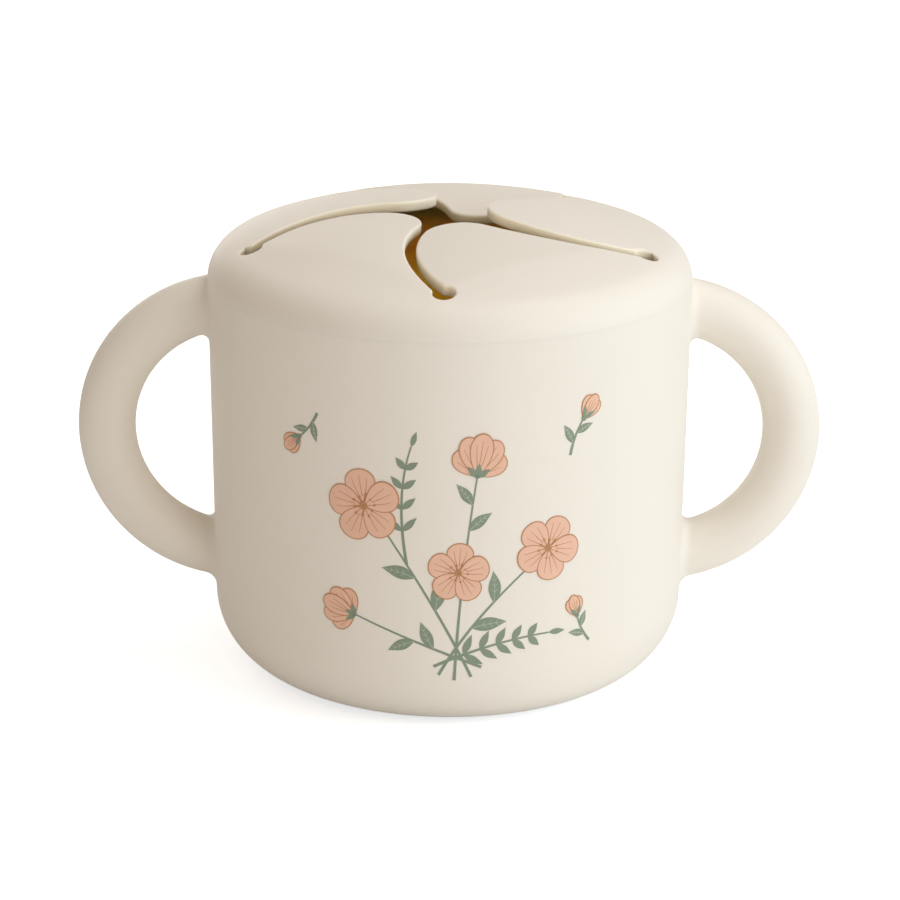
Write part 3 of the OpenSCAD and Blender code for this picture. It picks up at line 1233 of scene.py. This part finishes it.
class InkSheet:
    """Thin closed shapes of one ink, drawn flat, with u along the wall and v up it, and then laid on it."""

    def __init__(self, finish: PrintedInk) -> None:
        """Starts an empty sheet of an ink."""
        self.finish = finish
        self.bm = bmesh.new()

    def strip(self, curve: FlatCurve, half_width: Callable[[float], float], level: float,
              steps: int) -> None:
        """Draws a strip along a curve, such as a stem, a vein, a leaf or a petal.

        Args:
            curve: The strip's middle line.
            half_width: Half of its width at a share of the way.
            level: Height of its face above the wall.
            steps: Number of faces along it, closer together near both ends.
        """
        made = bmesh.ops.create_grid(self.bm, x_segments=steps, y_segments=2, size=0.5)["verts"]
        for vert in made:
            share, side = (1 - math.cos(math.pi * (vert.co.x + 0.5))) / 2, 2 * vert.co.y
            ahead = curve.ahead(share)
            flat = curve.at(share) + Vector((-ahead.y, ahead.x)) * side * half_width(share)
            vert.co = (flat.x, flat.y, level)
        bmesh.ops.remove_doubles(self.bm, verts=made, dist=2e-6)

    def dot(self, centre: Vector, radius: float, level: float) -> None:
        """Draws a round dot."""
        made = bmesh.ops.create_circle(self.bm, cap_ends=True, segments=16, radius=radius)["verts"]
        bmesh.ops.translate(self.bm, verts=made, vec=(centre.x, centre.y, level))

    def lay(self, form: OuterForm, slice_w: float = 1.0 * MM, sink: float = 0.1 * MM) -> bpy.types.Object:
        """Slices the shapes so that they can bend, gives them a thickness and wraps them round the wall.

        Args:
            form: The cup's outer form.
            slice_w: Width of the slices.
            sink: Depth to which the shapes reach into the wall.

        Returns:
            The printed piece.
        """
        bm = self.bm
        reach = math.ceil(max(abs(v.co.x) for v in bm.verts) / slice_w)
        for k in range(-reach, reach + 1):
            bmesh.ops.bisect_plane(bm, geom=bm.verts[:] + bm.edges[:] + bm.faces[:], dist=1e-7,
                                   plane_co=(k * slice_w, 0.0, 0.0), plane_no=(1.0, 0.0, 0.0))
        bmesh.ops.dissolve_degenerate(bm, dist=1e-6, edges=bm.edges[:])
        for face in bm.faces:
            face.normal_update()
            if face.normal.z < 0:
                face.normal_flip()
        below = bm.verts[:]
        bmesh.ops.extrude_face_region(bm, geom=bm.faces[:], use_keep_orig=True)
        for vert in below:
            vert.co.z = -sink
        for vert in bm.verts:
            turn = vert.co.x / form.rim_r
            radius = form.wall_r(vert.co.y) + vert.co.z
            vert.co = (radius * math.sin(turn), -radius * math.cos(turn), vert.co.y)
        piece = to_piece(bm, self.finish.name, self.finish.material())
        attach(piece, "cup")
        return piece


@dataclass
class FlowerPrint:
    """A loose bunch of blossoms, buds and leaves on the front of the cup, with small sprigs round it.

    Places are given as u along the wall from the front's middle and v up from the base.
    """

    form: OuterForm
    petal_ink: PrintedInk
    line_ink: PrintedInk
    leaf_ink: PrintedInk
    vein_ink: PrintedInk
    outline_w: float = 0.19 * MM
    vein_w: float = 0.14 * MM
    stem_w: float = 0.56 * MM
    stem_level: float = 0.030 * MM
    stem_step: float = 0.002 * MM
    leaf_level: float = 0.052 * MM
    petal_level: float = 0.068 * MM
    level_step: float = 0.010 * MM
    petal_count: int = 5
    petal_veins: tuple[tuple[float, float], ...] = ((-0.52, 0.74), (0.0, 0.84), (0.52, 0.74))
    stamen_count: int = 10

    def __post_init__(self) -> None:
        """Starts one sheet for each ink, and no stems."""
        self.stems = 0
        self.petals, self.lines = InkSheet(self.petal_ink), InkSheet(self.line_ink)
        self.leaves, self.veins = InkSheet(self.leaf_ink), InkSheet(self.vein_ink)

    def over_petals(self, layers: int) -> float:
        """Height of what lies over a number of petals, each of which has an outline, a blade and veins."""
        return self.petal_level + (3 * layers + 1) * self.level_step

    def petal(self, foot: Vector, heading: float, length: float, half: float, layer: int) -> None:
        """Draws an outlined petal with three veins.

        Args:
            foot: Where the petal starts.
            heading: Its direction in degrees.
            length: Its length.
            half: Half of its width.
            layer: How many petals lie under it.
        """
        level = self.petal_level + 3 * layer * self.level_step
        ahead = compass(heading)
        left = Vector((-ahead.y, ahead.x))
        outline = FlatCurve.ray(foot - ahead * self.outline_w, heading, length + 2 * self.outline_w)
        self.lines.strip(outline, taper_petal(half + self.outline_w), level, 24)
        blade = FlatCurve.ray(foot, heading, length)
        self.petals.strip(blade, taper_petal(half), level + self.level_step, 24)
        for side, reach in self.petal_veins:
            start = foot + ahead * length * 0.22 + left * half * side * 0.35
            end = foot + ahead * length * reach + left * half * side
            bend = (start + end) / 2 + left * half * side * 0.12
            vein = FlatCurve(start, bend, end)
            self.lines.strip(vein, taper_line(self.vein_w / 2), level + 2 * self.level_step, 6)

    def leaf(self, foot: Vector, heading: float, length: float, bow: float = 0.0) -> None:
        """Draws an almond-shaped leaf with a middle vein and short side veins.

        Args:
            foot: Where the leaf starts.
            heading: Its direction in degrees.
            length: Its length.
            bow: Sideways bend of its middle line.
        """
        curve = FlatCurve.ray(foot, heading, length, bow)
        self.leaves.strip(curve, taper_leaf(length * 0.19), self.leaf_level, 16)
        self.veins.strip(curve, taper_line(self.vein_w / 2), self.leaf_level + self.level_step, 10)
        for share in (0.32, 0.5, 0.68):
            for side in (-1, 1):
                vein = FlatCurve.ray(curve.at(share), curve.heading(share) + side * 42.0, length * 0.14)
                self.veins.strip(vein, taper_line(self.vein_w / 2), self.leaf_level + self.level_step, 3)

    def stem(self, curve: FlatCurve) -> FlatCurve:
        """Draws a stem, a little higher than the last one so that their faces don't meet where they cross.

        Args:
            curve: Its middle line.

        Returns:
            The same line, for what grows on it.
        """
        level = self.stem_level + self.stems * self.stem_step
        self.leaves.strip(curve, taper_line(self.stem_w / 2), level, 24)
        self.stems += 1
        return curve

    def blossom(self, centre: Vector, radius: float, turn: float) -> None:
        """Draws an open blossom of five petals with a ring of stamens.

        Args:
            centre: Its middle.
            radius: Reach of its petals.
            turn: Direction of its first petal in degrees.
        """
        for k in range(self.petal_count):
            heading = turn + 360.0 / self.petal_count * k
            self.petal(centre + compass(heading) * radius * 0.05, heading, radius * 0.95, radius * 0.41, k)
        level = self.over_petals(self.petal_count)
        self.lines.dot(centre, radius * 0.11, level)
        for k in range(self.stamen_count):
            heading = turn + 360.0 / self.stamen_count * (k + 0.5)
            stamen = FlatCurve.ray(centre, heading, radius * (0.26 + 0.05 * (k % 2)))
            self.lines.strip(stamen, taper_line(self.vein_w / 2), level, 3)
            self.lines.dot(stamen.end, radius * 0.035, level)

    def half_blossom(self, foot: Vector, heading: float, size: float) -> None:
        """Draws a half-open blossom from the side, with its calyx.

        Args:
            foot: Where the stem ends.
            heading: Direction in which it opens, in degrees.
            size: Length of its petals.
        """
        fan = ((-50.0, 0.74), (50.0, 0.74), (-24.0, 0.92), (24.0, 0.92), (0.0, 0.98))
        for layer, (turn, share) in enumerate(fan):
            self.petal(foot, heading + turn, size * share, size * 0.25, layer)
        level = self.over_petals(len(fan))
        for turn in (-48.0, 0.0, 48.0):
            sepal = FlatCurve.ray(foot - compass(heading) * size * 0.05, heading + turn, size * 0.34)
            self.leaves.strip(sepal, taper_leaf(size * 0.075), level, 8)
        self.leaves.dot(foot, size * 0.075, level)

    def bud(self, foot: Vector, heading: float, size: float) -> None:
        """Draws a closed bud in its calyx.

        Args:
            foot: Where the stem ends.
            heading: Direction in which the bud points, in degrees.
            size: Length of its middle petal.
        """
        fan = (-17.0, 17.0, 0.0)
        for layer, turn in enumerate(fan):
            self.petal(foot, heading + turn, size * (0.9 if turn else 1.0), size * 0.24, layer)
        level = self.over_petals(len(fan))
        for turn in (-30.0, 30.0):
            sepal = FlatCurve.ray(foot, heading + turn, size * 0.55)
            self.leaves.strip(sepal, taper_leaf(size * 0.09), level, 8)
        self.leaves.dot(foot, size * 0.1, level)

    def leafy_stem(self, curve: FlatCurve, shares: tuple[float, ...], length: float) -> None:
        """Sets leaves along a stem, by turns on its left and its right.

        Args:
            curve: Middle line of the stem.
            shares: Places of the leaves as shares of its way.
            length: Length that a leaf at the stem's foot would have.
        """
        for number, share in enumerate(shares):
            side = -1 if number % 2 else 1
            size = length * (1.0 - 0.35 * share)
            self.leaf(curve.at(share), curve.heading(share) + side * 44.0, size, -side * size * 0.08)

    def sprig(self, foot: Vector, heading: float, length: float) -> None:
        """Draws a small loose sprig: a bent stem with two leaves and a bud.

        Args:
            foot: Where the stem starts.
            heading: Its direction in degrees.
            length: Length of the whole sprig.
        """
        stem = self.stem(FlatCurve.ray(foot, heading, length * 0.62, length * 0.07))
        self.leafy_stem(stem, (0.3, 0.58), length * 0.42)
        self.bud(stem.end, stem.heading(1.0), length * 0.42)

    def fern(self, curve: FlatCurve, pairs: int, length: float) -> None:
        """Draws a fern-like twig: a stem with pairs of slim leaves and one at its tip.

        Args:
            curve: Middle line of the stem.
            pairs: Number of pairs.
            length: Length that a leaf at the stem's foot would have.
        """
        self.stem(curve)
        for k in range(pairs):
            share = 0.25 + 0.7 * k / pairs
            for side in (-1, 1):
                slim = FlatCurve.ray(curve.at(share), curve.heading(share) + side * 48.0,
                                     length * (1.0 - 0.45 * share))
                self.leaves.strip(slim, taper_leaf(length * 0.15), self.leaf_level, 8)
        tip = FlatCurve.ray(curve.end, curve.heading(1.0), length * 0.7)
        self.leaves.strip(tip, taper_leaf(length * 0.12), self.leaf_level, 8)

    def bunch(self) -> None:
        """Draws the bunch in the middle, whose stems meet low on the front."""
        left = self.stem(FlatCurve(self.spot(4.2, 12.4), self.spot(-2.5, 27.0), self.spot(-13.5, 42.5)))
        middle = self.stem(FlatCurve(self.spot(1.2, 11.8), self.spot(2.0, 30.0), self.spot(5.0, 50.0)))
        right = self.stem(FlatCurve(self.spot(-1.6, 12.8), self.spot(5.0, 25.0), self.spot(16.5, 34.0)))
        low = self.stem(FlatCurve(self.spot(6.0, 14.2), self.spot(-4.0, 18.5), self.spot(-17.0, 23.0)))
        self.leafy_stem(left, (0.62, 0.42), 8.0 * MM)
        self.leafy_stem(middle, (0.86, 0.74), 7.0 * MM)
        self.leafy_stem(right, (0.6, 0.38), 7.5 * MM)
        self.leafy_stem(low, (0.55, 0.4), 6.5 * MM)
        low_twig = FlatCurve(self.spot(-2.5, 14.4), self.spot(8.0, 19.5), self.spot(18.5, 19.5))
        self.fern(low_twig, 5, 4.6 * MM)
        high_twig = FlatCurve(left.at(0.7), self.spot(-9.5, 46.0), self.spot(-6.5, 55.0))
        self.fern(high_twig, 4, 4.2 * MM)
        self.blossom(self.spot(-15.0, 43.5), 6.6 * MM, 100.0)
        self.blossom(self.spot(18.0, 35.5), 5.9 * MM, 62.0)
        self.blossom(self.spot(1.8, 32.0), 5.4 * MM, 85.0)
        self.half_blossom(middle.end, middle.heading(1.0), 7.6 * MM)
        self.half_blossom(low.end, low.heading(1.0), 6.4 * MM)

    def spot(self, u: float, v: float) -> Vector:
        """Gives a place in the plane of the print, from millimetres."""
        return Vector((u, v)) * MM

    def build(self) -> None:
        """Draws the bunch and the sprigs, and lays all inks on the wall."""
        self.bunch()
        self.sprig(self.spot(22.0, 52.0), 68.0, 11.0 * MM)
        self.sprig(self.spot(-24.0, 59.0), -128.0, 10.0 * MM)
        self.sprig(self.spot(27.0, 16.5), 118.0, 9.5 * MM)
        for ink in (self.leaves, self.veins, self.lines, self.petals):
            ink.lay(self.form)


# Studio


@dataclass
class Studio:
    """The white table, the soft lamps and the camera."""

    camera_target: Vector = field(default_factory=lambda: Vector((0.0, 0.0, 0.040)))
    lamp_target: Vector = field(default_factory=lambda: Vector((0.0, 0.0, 0.045)))
    camera_distance: float = 0.600
    camera_elevation: float = 18.88
    camera_roll: float = 0.37
    sensor_w: float = 36.0
    lens: float = 129.68
    shift: tuple[float, float] = (0.0012, -0.0021)
    floor_half: float = 1.5
    table_paint: RGBA = (0.93, 0.93, 0.93, 1.0)
    table_lift: RGBA = (0.94, 0.97, 1.0, 1.0)
    lift_strength: float = 0.62
    world_colour: RGBA = (1.0, 0.86, 0.73, 1.0)
    world_strength: float = 0.45

    def camera(self) -> None:
        """Places the camera as the photograph was taken."""
        data = bpy.data.cameras.new("studio_camera")
        data.sensor_width, data.lens = self.sensor_w, self.lens
        data.shift_x, data.shift_y = self.shift
        data.clip_start, data.clip_end = 0.01, 20.0
        camera = bpy.data.objects.new("studio_camera", data)
        bpy.context.scene.collection.objects.link(camera)
        rise = math.radians(self.camera_elevation)
        back = Vector((0.0, -math.cos(rise), math.sin(rise)))
        camera.location = self.camera_target + back * self.camera_distance
        roll = Matrix.Rotation(math.radians(self.camera_roll), 4, "Z").to_quaternion()
        camera.rotation_euler = ((-back).to_track_quat("-Z", "Y") @ roll).to_euler()
        bpy.context.scene.camera = camera

    def lamp(self, name: str, place: tuple[float, float, float], size: float, power: float,
             colour: RGB = (1.0, 1.0, 1.0)) -> None:
        """Adds a square softbox that points at the cup.

        Args:
            name: Name of the lamp.
            place: Where it stands.
            size: Length of its sides.
            power: Its power in watts.
            colour: Its colour.
        """
        data = bpy.data.lights.new(name, "AREA")
        data.shape, data.size, data.energy, data.color = "SQUARE", size, power, colour
        lamp = bpy.data.objects.new(name, data)
        bpy.context.scene.collection.objects.link(lamp)
        lamp.location = place
        lamp.rotation_euler = (self.lamp_target - Vector(place)).to_track_quat("-Z", "Y").to_euler()

    def white_sky(self) -> None:
        """Lights the cup evenly from all sides, and shows plain white behind it."""
        world = bpy.data.worlds.new("studio_world")
        bpy.context.scene.world = world
        board = NodeBoard(world)
        path = board.add("ShaderNodeLightPath")
        seen = board.add("ShaderNodeMath", {"operation": "MAXIMUM"}, i0=path.outputs["Is Camera Ray"],
                         i1=path.outputs["Is Transmission Ray"])
        light = board.add("ShaderNodeBackground", Color=self.world_colour, Strength=self.world_strength)
        white = board.add("ShaderNodeBackground", Color=(1.0, 1.0, 1.0, 1.0), Strength=1.0)
        both = board.add("ShaderNodeMixShader", i0=seen.outputs["Value"], i1=light.outputs["Background"],
                         i2=white.outputs["Background"])
        board.add("ShaderNodeOutputWorld", Surface=both.outputs["Shader"])

    def table(self) -> None:
        """Lays a white table under the cup, which keeps the cup's soft shadow.

        The lift brightens the table for the camera alone, so it puts no light on the cup.
        """
        bm = bmesh.new()
        bmesh.ops.create_grid(bm, x_segments=8, y_segments=8, size=self.floor_half)
        material = bpy.data.materials.new("white_table")
        board = NodeBoard(material)
        path = board.add("ShaderNodeLightPath")
        paint = board.add("ShaderNodeBsdfDiffuse", Color=self.table_paint)
        lift = board.add("ShaderNodeEmission", Color=self.table_lift, Strength=self.lift_strength)
        lifted = board.add("ShaderNodeAddShader", i0=paint.outputs["BSDF"], i1=lift.outputs["Emission"])
        both = board.add("ShaderNodeMixShader", i0=path.outputs["Is Camera Ray"], i1=paint.outputs["BSDF"],
                         i2=lifted.outputs["Shader"])
        board.add("ShaderNodeOutputMaterial", Surface=both.outputs["Shader"])
        table = to_piece(bm, "table_top", material)

    def build(self) -> None:
        """Sets up the whole studio."""
        bpy.context.scene.view_settings.view_transform = "Standard"
        self.camera()
        self.white_sky()
        self.table()
        self.lamp("right_softbox", (0.80, -0.38, 0.28), 0.5, 2.9, (0.74, 0.89, 1.0))
        self.lamp("front_softbox", (0.42, -0.90, 0.12), 0.4, 1.95)
        self.lamp("top_softbox", (0.30, 0.05, 0.90), 0.6, 3.5, (0.94, 0.97, 1.0))
        self.lamp("back_softbox", (-0.30, 0.85, 0.10), 0.4, 1.6)


def main() -> None:
    """Builds each sub-assembly in turn."""
    logging.basicConfig(level=logging.INFO, format="%(name)s %(message)s")
    cream = SoftSilicone("cream_silicone", (0.845, 0.800, 0.720, 1.0), (0.83, 0.782, 0.698, 1.0))
    form = OuterForm()
    pattern = FlapPattern(form)
    # Golden painted shade for the cup's inner wall and floor; the subsurface glow through the wall is
    # translucency.
    translucent_painted_inner_shade = SoftSilicone("translucent_silicone_painted_inner_shade", (0.93, 0.74, 0.42, 1.0), (0.92, 0.72, 0.39, 1.0),
                               glow=1.0, glow_reach=7.0 * MM, glow_spread=(1.0, 0.72, 0.1))
    Cup(form, cream, translucent_painted_inner_shade).build()
    handle = RingHandle(form, cream)
    for side in Side:
        handle.build(side)
    # Brighter, warmer colour for the cut walls of the slits and holes: painted light, with a subsurface glow
    # from translucency.
    painted_light_edge = SoftSilicone("edge_silicone_painted_light", (0.99, 0.86, 0.69, 1.0), (0.98, 0.84, 0.66, 1.0),
                             glow=0.75, glow_reach=1.6 * MM, glow_spread=(1.0, 1.0, 1.0))
    LidRing(form, pattern, cream, painted_light_edge).build()
    flap = Flap(form, pattern, cream, painted_light_edge)
    for place in Place:
        flap.build(place)
    FlowerPrint(form, PrintedInk("peach_print", (0.83, 0.53, 0.39, 1.0), (0.78, 0.47, 0.34, 1.0)),
                PrintedInk("ochre_print", (0.53, 0.27, 0.12, 1.0), (0.47, 0.23, 0.10, 1.0)),
                PrintedInk("sage_print", (0.25, 0.31, 0.23, 1.0), (0.22, 0.28, 0.20, 1.0)),
                PrintedInk("pale_sage_print", (0.44, 0.49, 0.39, 1.0), (0.40, 0.45, 0.35, 1.0))).build()
    Studio().build()


if __name__ == "__main__":
    main()
